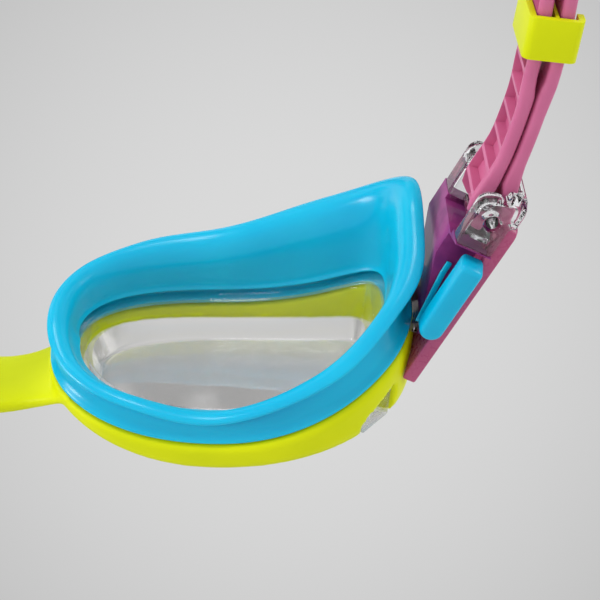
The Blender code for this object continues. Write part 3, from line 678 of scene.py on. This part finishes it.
@dataclass
class SoftFrame:
    """The one-piece frame: a rim round each cup and the nose bridge between them."""

    layout: Layout
    form: CupForm = field(default_factory=CupForm)
    stations: int = 120
    rim_width: float = 2.8 * MM
    rim_rounding: float = 1.1 * MM
    inner_cut: float = 2.6 * MM  # how far the rim's inner front edge is cut back over the top
    bridge_reach: float = 14.5 * MM
    bridge_front: float = -18.8 * MM
    bridge_thickness: float = 3.8 * MM
    bridge_half_height: float = 6.9 * MM
    bridge_flare: float = 2.2 * MM
    bridge_low_flare: float = 4.6 * MM
    # Corners of the window to the lens: degrees round the cup, share of the rim's depth
    notch_corners: tuple[tuple[float, float], ...] = ((-46, 0.75), (-29.5, 0.4), (-32, 1.35), (-46, 1.35))
    window_corners: tuple[tuple[float, float], ...] = ((-45, 0.78), (-30.5, 0.45), (-32.5, 1.0), (-45, 1.0))
    notch_reach: float = 3.0 * MM
    window_inset: float = 0.5 * MM
    window_edge: float = 0.3 * MM
    bridge_power: float = 0.6  # 1 for an oval section, less for a squarer one
    voxel: float = 0.42 * MM
    passes: int = 4

    def build(self) -> None:
        """Make both rims and the bridge and melt them together."""
        shapes = [self.rim(side) for side in Side] + [self.bridge()]
        cutters = [self.notch(side, self.notch_corners, self.notch_reach) for side in Side]
        whole = melted(shapes, cutters, self.voxel, self.passes)
        add_piece("soft_frame", whole, LIME_TPE, "root", ["frame"], "lime_tpe", crease=180)
        for side in Side:
            window = self.notch(side, self.window_corners, -self.window_inset)
            round_edges(window, self.window_edge, 2)
            add_piece(f"lens_window_{side.label}", window, LENS_PC, "root", [f"lens_{side.label}"],
                      "clear_polycarbonate", crease=60)

    def border(self) -> float:
        """Give how far the rim's rear lies in front of the flange's rear face."""
        form = self.form
        return -form.flange_thickness - 2 * form.gap - form.strip

    def rim(self, side: Side) -> bmesh.types.BMesh:
        """Make the rim round one cup."""
        form = self.form
        inner = -form.flange_width + form.gap
        wide, soft = self.rim_width, self.rim_rounding

        def section(angle: float) -> list[Vector]:
            """Give the rim's section at one angle."""

            def rear(grow: float) -> Vector:
                """Give a point of the rim's rear face."""
                out, z = form.outline(angle, grow)
                return Vector((out, form.flange(out, z) + self.border(), z))

            def front(grow: float, back: float = 0.0) -> Vector:
                """Give a point of the rim's front face, or behind it."""
                out, z = form.outline(angle, grow)
                return Vector((out, form.front(out, z) + back, z))

            cut = self.inner_cut * max(0.0, math.sin(angle)) ** 0.5
            side_wall = [rear(wide).lerp(front(wide), share) for share in (0.15, 0.4, 0.6, 0.75)]
            return [
                rear(inner), rear(0.5 * (inner + wide)), rear(wide - 0.5 * MM), *side_wall,
                front(wide - 0.3 * soft, 0.5 * soft), front(wide - soft), front(0.5 * wide, 0.3 * cut),
                front(inner + soft - form.draft, cut),
                front(inner + 0.3 * soft - form.draft, cut + 0.4 * soft),
                front(inner - 0.7 * form.draft, cut + soft),
            ]

        sections = [section(2 * math.pi * i / self.stations) for i in range(self.stations)]
        rows = len(sections[0])
        return skin(self.stations, rows,
                    lambda i, j: self.layout.world(side, *sections[i % self.stations][j % rows]))

    def notch(self, side: Side, corners: Sequence[tuple[float, float]], reach: float) -> bmesh.types.BMesh:
        """Make the shape of the window in the rim at the temple.

        Args:
            side: which cup.
            corners: its corners, as degrees round the cup and share of the rim's depth.
            reach: how far it reaches beyond the rim's outer wall.

        Returns:
            The closed shape, from beyond the rim to inside the lens's wall.
        """
        form = self.form
        grows = (self.rim_width + reach, -form.flange_width - max(0.0, reach))
        count = len(corners)

        def point(i: int, j: int) -> Vector:
            """Give the place of one grid point."""
            degrees, share = corners[j % count]
            angle = math.radians(degrees)
            out, z = form.outline(angle, self.rim_width)
            rear = form.flange(out, z) + self.border()
            depth = rear + (form.front(out, z) - rear) * share
            out, z = form.outline(angle, grows[i])
            return self.layout.world(side, out, depth, z)

        return skin(1, count, point, capped=True)

    def bridge(self) -> bmesh.types.BMesh:
        """Make the nose bridge, a flat bar that bows forward and flares into both rims."""
        form = self.form
        steps, turns = 28, 32
        reach = self.bridge_reach
        rim_front = form.front(reach, 0.0)
        rim_middle = 0.5 * (rim_front + form.flange(reach, 0.0) + self.border())

        def point(i: int, j: int) -> Vector:
            """Give the place of one grid point."""
            x = reach * (2 * i / steps - 1)
            share = abs(x) / reach
            middle = self.bridge_front + 0.5 * self.bridge_thickness
            middle += (rim_middle - middle) * share**2
            thick = self.bridge_thickness * (1 - 0.3 * share)
            angle = 2 * math.pi * ((j % turns) + 0.5) / turns
            flare = self.bridge_flare if math.sin(angle) > 0 else self.bridge_low_flare
            high = self.bridge_half_height + flare * share**3
            y = 0.5 * thick * math.copysign(abs(math.cos(angle)) ** self.bridge_power, math.cos(angle))
            z = high * math.copysign(abs(math.sin(angle)) ** self.bridge_power, math.sin(angle))
            return self.layout.world(Side.LEFT, x, middle + y, z)

        return skin(steps, turns, point, capped=True)


# ---------------------------------------------------------------- buckles


@dataclass
class Buckle:
    """The hard pieces at one temple: side arm, cover plate, push button, leg, pawl and pin."""

    side: Side
    layout: Layout
    cover_thickness: float = 1.6 * MM
    bond: float = 0.75 * MM  # how far the plate is sunk into the arm it is moulded on
    button_start: float = 11.6 * MM
    button_length: float = 15.6 * MM
    button_bottom: float = -11.3 * MM
    button_height: float = 3.5 * MM
    button_width: float = 3.9 * MM
    button_slant: float = 1.0 * MM
    button_rounding: float = 0.8 * MM
    leg: float = 0.45 * MM
    leg_width: float = 0.9 * MM
    waist: float = -4.4 * MM
    voxel: float = 0.3 * MM
    passes: int = 10
    ears_start: float = 28.5 * MM
    ears_end: float = 36.0 * MM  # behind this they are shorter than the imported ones
    shorten: float = 0.55
    ear_blend: float = 4.0 * MM
    overlap: float = 0.4 * MM
    ear_face: float = -1.0 * MM
    core_grow: float = 0.04 * MM
    # The thin front end's corners (out, y) in millimetres, and its top
    root_plan: tuple[tuple[float, float], ...] = (
        (67.2, -1.7), (67.2, -0.5), (70.6, -0.9), (74.6, 0.6), (75.2, -0.9), (71.6, -3.2),
    )
    root_top: float = 7.0 * MM
    leg_start: float = 0.5 * MM
    leg_above_button: float = 0.1 * MM
    leg_below_waist: float = 0.3 * MM
    leg_rise: float = 8.6 * MM
    leg_reach: float = 10.6 * MM
    pin_edge: float = 0.15 * MM
    pawl_edge: float = 0.2 * MM
    cover_edge: float = 0.3 * MM
    root_edge: float = 0.35 * MM
    leg_edge: float = 0.12 * MM

    def build(self) -> None:
        """Shape each piece and dress it."""
        label = self.side.label
        clear, cyan, magenta = "clear_polycarbonate", "cyan_silicone", "magenta_polycarbonate"
        arm, pin, pawl = (cad_copy(f"{node}_{label}") for node in ("side_arm", "strap_pin", "locking_pawl"))
        self.trim_ears(arm)
        arm = melted([arm], [], self.voxel, self.passes)
        self.cut_across(arm, self.ears_start - self.overlap, keep_rear=True)
        round_edges(pin, self.pin_edge, 2)
        round_edges(pawl, self.pawl_edge, 2)
        button, pawl_body = f"button_{label}", f"pawl_{label}"
        for name, shape, finish, body, node, slot, crease in (
            # the core's purple is painted refraction and shade: the plate seen through the clear arm
            (f"core_{label}", self.core(), PURPLE_SEEN_THROUGH_PC, "root", "arm_cover", magenta, 60),
            (f"arm_{label}", arm, CLEAR_PC, "root", "side_arm", clear, 180),
            (f"arm_root_{label}", self.root(), CLEAR_PC, "root", "side_arm", clear, 60),
            (f"cover_{label}", self.cover(), MAGENTA_PC, "root", "arm_cover", magenta, 60),
            (f"pin_{label}", pin, CLEAR_PC, "root", "strap_pin", clear, 60),
            (f"leg_{label}", self.spring_leg(), CYAN_SILICONE, "root", "button_spring", cyan, 60),
            (f"button_{label}_cap", self.button(), CYAN_SILICONE, button, "release_button", cyan, 50),
            (f"pawl_{label}_bar", pawl, CLEAR_PC, pawl_body, "locking_pawl", clear, 60),
        ):
            add_piece(name, shape, finish, body, [f"{node}_{label}"], slot, crease=crease)

    def place(self, s: float, n: float, z: float) -> Vector:
        """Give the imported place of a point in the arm's own frame."""
        plan = self.layout.arm.plan(s, n)
        return self.layout.world(self.side, plan.x, plan.y, z)

    def slab(self, corners: Sequence[Vector], step: Vector) -> bmesh.types.BMesh:
        """Extrude one flat face.

        Args:
            corners: the face's corners in order.
            step: how far and which way it is extruded.

        Returns:
            The closed shape, its faces outward.
        """
        shape = bmesh.new()
        face = shape.faces.new([shape.verts.new(corner) for corner in corners])
        grown = bmesh.ops.extrude_face_region(shape, geom=[face])["geom"]
        bmesh.ops.translate(shape, verts=[v for v in grown if isinstance(v, bmesh.types.BMVert)], vec=step)
        bmesh.ops.recalc_face_normals(shape, faces=shape.faces)
        return shape

    def cover(self) -> bmesh.types.BMesh:
        """Make the plate, its inner face sunk into the clear arm."""
        shape = cad_copy(f"arm_cover_{self.side.label}")
        outer, inner = self.place(0, 0, 0), self.place(0, -self.cover_thickness, 0)
        outward = (outer - inner).normalized()
        hidden = [v for v in shape.verts if (v.co - outer).dot(outward) < -0.5 * self.cover_thickness]
        bmesh.ops.translate(shape, verts=hidden, vec=-outward * self.bond)
        round_edges(shape, self.cover_edge)
        return shape

    def along(self, point: Vector) -> tuple[float, float]:
        """Give (s, n), the arm's own coordinates, of a packed point."""
        origin = self.place(0, 0, 0)
        back, outward = (self.place(1, 0, 0) - origin), (self.place(0, 1, 0) - origin)
        return (point - origin).dot(back), (point - origin).dot(outward)

    def trim_ears(self, shape: bmesh.types.BMesh) -> None:
        """Pull the ears in to just outside the strap, and their rear ends closer to the pin."""
        outward = self.place(0, 1, 0) - self.place(0, 0, 0)
        back = self.place(1, 0, 0) - self.place(0, 0, 0)
        for vert in shape.verts:
            s, n = self.along(vert.co)
            vert.co -= back * self.shorten * max(0.0, s - self.ears_end)
            if s > self.ears_start and n > self.ear_face:
                vert.co -= outward * (n - self.ear_face) * ease((s - self.ears_start) / self.ear_blend)

    def core(self) -> bmesh.types.BMesh:
        """Make the arm's body up to the clear ears, coloured with painted refraction and shade: the plate
        as seen through the clear arm.
        """
        shape = cad_copy(f"side_arm_{self.side.label}")
        bmesh.ops.triangulate(shape, faces=shape.faces)
        shape.normal_update()
        moved = {v: v.co + v.normal * self.core_grow * min(2.0, v.calc_shell_factor()) for v in shape.verts}
        for vert, place in moved.items():
            vert.co = place
        self.cut_across(shape, self.ears_start, keep_rear=False)
        return shape

    def cut_across(self, shape: bmesh.types.BMesh, s: float, keep_rear: bool) -> None:
        """Cut a shape square across the arm and close it.

        Args:
            shape: the closed mesh to cut.
            s: how far back along the arm the cut lies.
            keep_rear: whether the rear part stays, not the front part.
        """
        end, front = self.place(s, 0, 0), self.place(0, 0, 0)
        geometry = shape.verts[:] + shape.edges[:] + shape.faces[:]
        bmesh.ops.bisect_plane(shape, geom=geometry, plane_co=end, plane_no=end - front,
                               clear_outer=not keep_rear, clear_inner=keep_rear)
        bmesh.ops.holes_fill(shape, edges=[e for e in shape.edges if e.is_boundary], sides=0)
        bmesh.ops.recalc_face_normals(shape, faces=shape.faces)

    def root(self) -> bmesh.types.BMesh:
        """Make the arm's thin front end, which runs into the lens flange behind the rim."""
        corners = [self.layout.world(self.side, out * MM, y * MM, self.waist) for out, y in self.root_plan]
        shape = self.slab(corners, Vector((0, 0, self.root_top - self.waist)))
        round_edges(shape, self.root_edge)
        return shape

    def spring_leg(self) -> bmesh.types.BMesh:
        """Make the thin leg that rises from the button's front end to the arm's lower edge."""
        start, thick = self.button_start + self.leg_start, self.leg
        low = self.button_bottom + self.button_height + self.leg_above_button
        top = self.waist - self.leg_below_waist
        rise, reach = start + self.leg_rise, start + self.leg_reach
        line = [(start, low), (start + thick, low), (rise, top - thick), (reach, top - thick), (reach, top),
                (rise - 0.2 * MM, top)]
        far = -self.cover_thickness - 0.3 * MM
        near = far - self.button_width
        across = self.place(0, near + self.leg_width, 0) - self.place(0, near, 0)
        shape = self.slab([self.place(s, near, z) for s, z in line], across)
        round_edges(shape, self.leg_edge, 2)
        return shape

    def button(self) -> bmesh.types.BMesh:
        """Make the push button: a bar with a round nose and a slanted heel."""
        half = 0.5 * self.button_width
        middle = -self.cover_thickness - 0.25 * MM - half
        steps = 14
        turns = [math.radians(90 + 180 * i / steps) for i in range(steps + 1)]
        plan = [(half * (1 + math.cos(turn)), middle + half * math.sin(turn)) for turn in turns]
        heel = self.button_length - self.button_slant
        plan += [(heel, middle - half), (heel, middle + half)]
        low = [self.place(self.button_start + s, n, self.button_bottom) for s, n in plan]
        shape = self.slab(low, Vector((0, 0, self.button_height)))
        upper = [v for v in shape.verts if v.co.z > low[0].z + 0.5 * self.button_height]
        top_heel = [v for v in upper if self.along(v.co)[0] > self.button_start + 0.5 * self.button_length]
        back = self.place(self.button_slant, 0, 0) - self.place(0, 0, 0)
        bmesh.ops.translate(shape, verts=top_heel, vec=back)
        round_edges(shape, self.button_rounding, 4)
        return shape


# ---------------------------------------------------------------- strap


@dataclass
class Strap:
    """The ribbed band that doubles back round each pin and passes behind the head."""

    layout: Layout
    width: float = 10.0 * MM
    thickness: float = 2.1 * MM
    back: float = 150.0 * MM
    side_out: float = 88.6 * MM
    level: float = 62.0 * MM
    tail_end: float = 58.5 * MM
    layer_gap: float = 0.4 * MM
    keeper_layer_gap: float = 1.2 * MM
    keeper_at: float = 46.4 * MM
    corner: float = 0.8 * MM
    rail: float = 0.9 * MM
    rib_pitch: float = 4.4 * MM
    rib: float = 0.65 * MM
    slope: float = 0.25 * MM
    recess: float = 1.5 * MM
    seam: float = 0.12 * MM
    ribs_end: float = 86.0 * MM
    plain_step: float = 2.5 * MM
    first_rib: float = 3.6 * MM
    recess_draft: float = 0.15 * MM
    shoulder_y: float = 40.0 * MM
    closing: float = 9.0 * MM  # from the pin to where the layers lie together
    opening: float = 7.0 * MM  # over which they part again before the keeper
    lead: float = 10.0 * MM
    swell_start: float = 1.5 * MM  # behind the pin
    swell_end: float = 7.0 * MM  # before the keeper
    swell_blend: float = 3.0 * MM

    def build(self) -> None:
        """Make one half of the band, mirror it and dress it."""
        path = self.path()
        lengths = [0.0]
        for before, after in zip(path, path[1:]):
            lengths.append(lengths[-1] + (after - before).length)
        stations = self.stations(path, lengths)
        section = len(self.section(0.0, 0.0))

        def point(i: int, j: int) -> Vector:
            """Give the place of one grid point."""
            along, depth = stations[i]
            place, ahead = self.at(path, lengths, along)
            high, off = self.section(depth, self.swell(place.y))[j % section]
            face = Vector((-ahead.y, ahead.x))
            plan = place + face * off
            return self.layout.world(Side.LEFT, plan.x, plan.y, high)

        shape = skin(len(stations) - 1, section, point)
        tail = [e for e in shape.edges if e.is_boundary and max(v.co.x for v in e.verts) > 1 * MM]
        bmesh.ops.holes_fill(shape, edges=tail, sides=0)
        everything = shape.verts[:] + shape.edges[:] + shape.faces[:]
        bmesh.ops.mirror(shape, geom=everything, axis="X", merge_dist=1e-5)
        bmesh.ops.remove_doubles(shape, verts=shape.verts, dist=1e-6)
        bmesh.ops.recalc_face_normals(shape, faces=shape.faces)
        add_piece("strap", shape, PINK_SILICONE, "root", ["strap_band"], "pink_silicone", crease=50)

    def swell(self, y: float) -> float:
        """Give how much the plain face swells towards the other layer where nothing lies between."""
        room = self.offset(y) - 0.5 * self.thickness - self.seam
        from_pin = ease((y - self.layout.arm.pin().y - self.swell_start) / self.swell_blend)
        to_keeper = 1 - ease((y - self.keeper_at + self.swell_end) / self.swell_blend)
        return room * from_pin * to_keeper

    def middle_line(self, steps: int = 60) -> list[Vector]:
        """Give (out, y) along the middle between the layers, from the pin to the back."""
        start = self.layout.arm.pin()
        bend = Vector((self.side_out - 0.2 * MM, self.shoulder_y))
        end = Vector((self.side_out, self.level))
        shares = [i / steps for i in range(steps)]
        shoulder = [start * (1 - t) ** 2 + bend * 2 * t * (1 - t) + end * t**2 for t in shares]
        turns = [math.radians(90 * i / steps) for i in range(steps + 1)]
        deep = self.back - self.level
        round_back = [(self.side_out * math.cos(t), self.level + deep * math.sin(t)) for t in turns]
        return shoulder + [Vector(place) for place in round_back]

    def offset(self, y: float) -> float:
        """Give the distance from the seam to the middle of a layer."""
        at_pin = self.layout.arm.pin_radius + 0.3 * MM + 0.5 * self.thickness
        apart = 0.5 * (self.layer_gap + self.thickness)
        at_keeper = 0.5 * (self.keeper_layer_gap + self.thickness)
        close = at_pin + (apart - at_pin) * ease((y - self.layout.arm.pin().y) / self.closing)
        return close + (at_keeper - apart) * ease((y - self.keeper_at + self.lead) / self.opening)

    def path(self) -> list[Vector]:
        """Give the band's middle line: tail end, round the pin, then round the head."""
        seam = self.middle_line()
        outer, inner = [], []
        for i, point in enumerate(seam):
            ahead = (seam[min(i + 1, len(seam) - 1)] - seam[max(i - 1, 0)]).normalized()
            normal = Vector((ahead.y, -ahead.x))
            offset = self.offset(point.y)
            if point.y < self.tail_end and i < 70:
                outer.append(point + normal * offset)
            inner.append(point - normal * offset)
        first = (seam[1] - seam[0]).normalized()
        across = Vector((first.y, -first.x))
        radius = self.offset(seam[0].y)
        turns = [math.pi * i / 16 for i in range(1, 16)]
        bend = [seam[0] + (across * math.cos(t) - first * math.sin(t)) * radius for t in turns]
        return outer[::-1] + bend + inner

    def stations(self, path: list[Vector], lengths: list[float]) -> list[tuple[float, float]]:
        """List where sections stand along the band, and how deep each one's recess is.

        Args:
            path: the band's middle line.
            lengths: the length along it at each of its points.

        Returns:
            (distance along, recess depth) in order.
        """
        last = next(l for l, p, q in zip(lengths, path, path[1:]) if q.y > p.y and p.y > self.ribs_end)
        stations = [(0.0, 0.0), (0.4 * MM, 0.0)]
        centre = self.first_rib
        half, low = 0.5 * self.rib, 0.5 * self.rib + self.slope
        while centre < last:
            stations += [(centre - 0.5 * self.rib_pitch, 1.0), (centre - low, 1.0), (centre - half, 0.0),
                         (centre + half, 0.0), (centre + low, 1.0)]
            centre += self.rib_pitch
        place = stations[-1][0]
        stations.append((place + self.slope, 0.0))
        while place + 2 * self.plain_step < lengths[-1]:
            place += self.plain_step
            stations.append((place, 0.0))
        stations.append((lengths[-1], 0.0))
        return stations

    def section(self, depth: float, swell: float) -> list[tuple[float, float]]:
        """Give the band's section.

        Args:
            depth: 0 at a rib or on the plain band, 1 in a recess.
            swell: how far the plain face stands out.

        Returns:
            Points (height, distance towards the ribbed face).
        """
        high, half, r = 0.5 * self.width, 0.5 * self.thickness, self.corner
        arcs = []
        for up, off, start in ((-1, -1, 180), (1, -1, 270), (1, 1, 0), (-1, 1, 90)):
            centre = (up * (high - r), off * (half - r) - (swell if off < 0 else 0.0))
            for turn in (0, 30, 60, 90):
                t = math.radians(start + turn)
                arcs.append((centre[0] + r * math.cos(t), centre[1] + r * math.sin(t)))
        edge = high - self.rail
        floor = half - self.recess * depth
        inner = edge - self.recess_draft
        channel = [(edge, half), (inner, floor), (0.0, floor), (-inner, floor), (-edge, half)]
        return arcs[:12] + channel + arcs[12:]

    def at(self, path: list[Vector], lengths: list[float], along: float) -> tuple[Vector, Vector]:
        """Give the point and direction at a distance along the band."""
        along = min(max(along, 0.0), lengths[-1])
        after = next((i for i, l in enumerate(lengths) if l > along), len(lengths) - 1)
        before = after - 1
        share = (along - lengths[before]) / (lengths[after] - lengths[before])
        place = path[before].lerp(path[after], share)
        first = (path[after] - path[max(before - 1, 0)]).normalized()
        second = (path[min(after + 1, len(path) - 1)] - path[before]).normalized()
        return place, first.lerp(second, share).normalized()


@dataclass
class Keeper:
    """The soft clip that holds both layers of the strap together on one side."""

    side: Side
    edge: float = 0.28 * MM

    def build(self) -> None:
        """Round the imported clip's edges and dress it."""
        label = self.side.label
        shape = cad_copy(f"strap_keeper_{label}")
        round_edges(shape, self.edge)
        add_piece(f"keeper_{label}_clip", shape, LIME_TPE, f"keeper_{label}", [f"strap_keeper_{label}"],
                  "lime_tpe", crease=60)


# ---------------------------------------------------------------- studio


@dataclass
class Studio:
    """A pale room with soft lights, and the camera behind and below the right cup."""

    eye: Vector = field(default_factory=lambda: Vector((-0.0520, 0.0763, -0.1807)))
    target: Vector = field(default_factory=lambda: Vector((-0.0520, -0.0642, 0.0200)))
    lens_mm: float = 90.0
    edge: str = "C0C0C0"
    middle: str = "DADADA"
    # Cosine from the view's axis: where the wall is edge and middle, and where the cards give way to it
    fade: tuple[float, float] = (0.955, 0.998)
    wall: tuple[float, float] = (0.90, 0.97)
    card_scale: float = 5.0
    card_edge: tuple[float, float] = (0.46, 0.54)
    card_tones: tuple[float, float] = (0.03, 0.95)
    floor_drop: float = 0.45
    floor_half: float = 3.0
    gloss_share: float = 2.0  # how much stronger the lights are in highlights than on matt surfaces
    fill: float = 1.8  # how much brighter matt surfaces find the room than the camera does

    def build(self) -> None:
        """Make the camera, the room, the floor and the lights."""
        self.camera()
        self.room()
        self.floor()
        # Right, up and towards the camera, in metres; size in metres; watts
        self.light("key_softbox", (-0.10, 0.42, 0.30), 0.18, 0.9)
        self.light("under_softbox", (0.10, -0.50, 0.35), 0.16, 0.6)
        self.light("side_strip", (-0.50, 0.05, 0.20), 0.15, 0.9)
        self.light("temple_strip", (0.45, 0.20, 0.20), 0.12, 0.4)

    def camera(self) -> None:
        """Make the camera."""
        data = bpy.data.cameras.new("camera")
        data.lens = self.lens_mm
        data.sensor_width = 36.0
        data.clip_start = 0.01
        camera = bpy.data.objects.new("camera", data)
        camera.location = self.eye
        camera.rotation_euler = (self.target - self.eye).to_track_quat("-Z", "Y").to_euler()
        bpy.context.scene.collection.objects.link(camera)
        bpy.context.scene.camera = camera

    def room(self) -> None:
        """Make the pale wall and, for gloss and clear resin only, bright and dark cards beside it."""
        bpy.context.scene.view_settings.view_transform = "Standard"
        world = bpy.data.worlds.new("pale_room")
        world.use_nodes = True
        tree = world.node_tree
        sky = tree.nodes["Background"]
        look = add_node(tree, "ShaderNodeTexCoord", {}, {}).outputs["Generated"]
        facing = add_node(tree, "ShaderNodeVectorMath", {"operation": "DOT_PRODUCT"}, {})
        tree.links.new(look, facing.inputs[0])
        facing.inputs[1].default_value = (self.target - self.eye).normalized()
        ahead = facing.outputs["Value"]
        pale = add_node(tree, "ShaderNodeValToRGB", {}, {"Fac": ahead})
        stops = pale.color_ramp.elements
        stops[0].position, stops[0].color = self.fade[0], linear(self.edge)
        stops[1].position, stops[1].color = self.fade[1], linear(self.middle)
        spots = {"Scale": self.card_scale, "Detail": 1.5}
        flags = add_node(tree, "ShaderNodeTexNoise", spots, {"Vector": look}).outputs["Fac"]
        cards = self.ranged(tree, flags, self.card_edge, self.card_tones)
        open_wall = self.ranged(tree, ahead, self.wall, (0.0, 1.0))
        behind = self.choose(tree, open_wall, cards, pale.outputs["Color"])
        path = add_node(tree, "ShaderNodeLightPath", {}, {}).outputs
        bent = self.combine(tree, "MAXIMUM", path["Is Glossy Ray"], path["Is Transmission Ray"])
        matt = self.ranged(tree, path["Diffuse Depth"], (0.0, 1.0), (0.0, 1.0))
        sharp = self.combine(tree, "SUBTRACT", bent, matt)
        tree.links.new(self.choose(tree, sharp, pale.outputs["Color"], behind), sky.inputs["Color"])
        tree.links.new(self.ranged(tree, matt, (0.0, 1.0), (1.0, self.fill)), sky.inputs["Strength"])
        bpy.context.scene.world = world

    def ranged(
        self,
        tree: bpy.types.NodeTree,
        value: bpy.types.NodeSocket,
        source: tuple[float, float],
        result: tuple[float, float],
    ) -> bpy.types.NodeSocket:
        """Stretch a value from one range to another, and clamp it there."""
        ends = {"From Min": source[0], "From Max": source[1], "To Min": result[0], "To Max": result[1]}
        return add_node(tree, "ShaderNodeMapRange", ends, {"Value": value}).outputs["Result"]

    def combine(
        self,
        tree: bpy.types.NodeTree,
        operation: str,
        first: bpy.types.NodeSocket,
        second: bpy.types.NodeSocket,
    ) -> bpy.types.NodeSocket:
        """Combine two values by one sum, kept between 0 and 1."""
        node = add_node(tree, "ShaderNodeMath", {"operation": operation, "use_clamp": True}, {})
        tree.links.new(first, node.inputs[0])
        tree.links.new(second, node.inputs[1])
        return node.outputs["Value"]

    def choose(
        self,
        tree: bpy.types.NodeTree,
        share: bpy.types.NodeSocket,
        first: bpy.types.NodeSocket,
        second: bpy.types.NodeSocket,
    ) -> bpy.types.NodeSocket:
        """Mix two colours, the second where the share is 1."""
        node = add_node(tree, "ShaderNodeMix", {"data_type": "RGBA"}, {})
        tree.links.new(share, node.inputs[0])
        tree.links.new(first, node.inputs[6])
        tree.links.new(second, node.inputs[7])
        return node.outputs[2]

    def floor(self) -> None:
        """Lay the plain pale floor well below the camera."""
        shape = bmesh.new()
        bmesh.ops.create_grid(shape, x_segments=1, y_segments=1, size=self.floor_half)
        bmesh.ops.translate(shape, verts=shape.verts, vec=(0, 0, -self.floor_drop))
        mesh = bpy.data.meshes.new("floor")
        shape.to_mesh(mesh)
        shape.free()
        paint = Finish("floor_paint", self.middle, self.middle, 0.8, 100, 20, 0.01).material()
        mesh.materials.append(paint)
        floor = bpy.data.objects.new("floor", mesh)
        bpy.context.scene.collection.objects.link(floor)

    def light(self, name: str, place: tuple[float, float, float], size: float, power: float) -> None:
        """Add one soft square light that faces the object.

        Args:
            name: the light's name.
            place: right, up and towards the camera from its target.
            size: its side in metres.
            power: its strength in watts.
        """
        near = (self.eye - self.target).normalized()
        right = Vector((-1, 0, 0))
        up = near.cross(right)
        spot = right * place[0] + up * place[1] + near * place[2]
        data = bpy.data.lights.new(name, "AREA")
        data.size = size
        data.energy = power
        data.specular_factor = self.gloss_share
        lamp = bpy.data.objects.new(name, data)
        lamp.location = self.target + spot
        lamp.rotation_euler = (-spot).to_track_quat("-Z", "Y").to_euler()
        lamp.visible_camera = False
        lamp.visible_transmission = False
        bpy.context.scene.collection.objects.link(lamp)


def main() -> None:
    """Build every sub-assembly in order and report it."""
    logging.basicConfig(level=logging.INFO, format="%(name)s %(message)s")
    Studio().build()
    layout = Layout()
    SoftFrame(layout).build()
    for side in Side:
        EyeCup(side, layout).build()
        Buckle(side, layout).build()
        Keeper(side).build()
    Strap(layout).build()


if __name__ == "__main__":
    main()
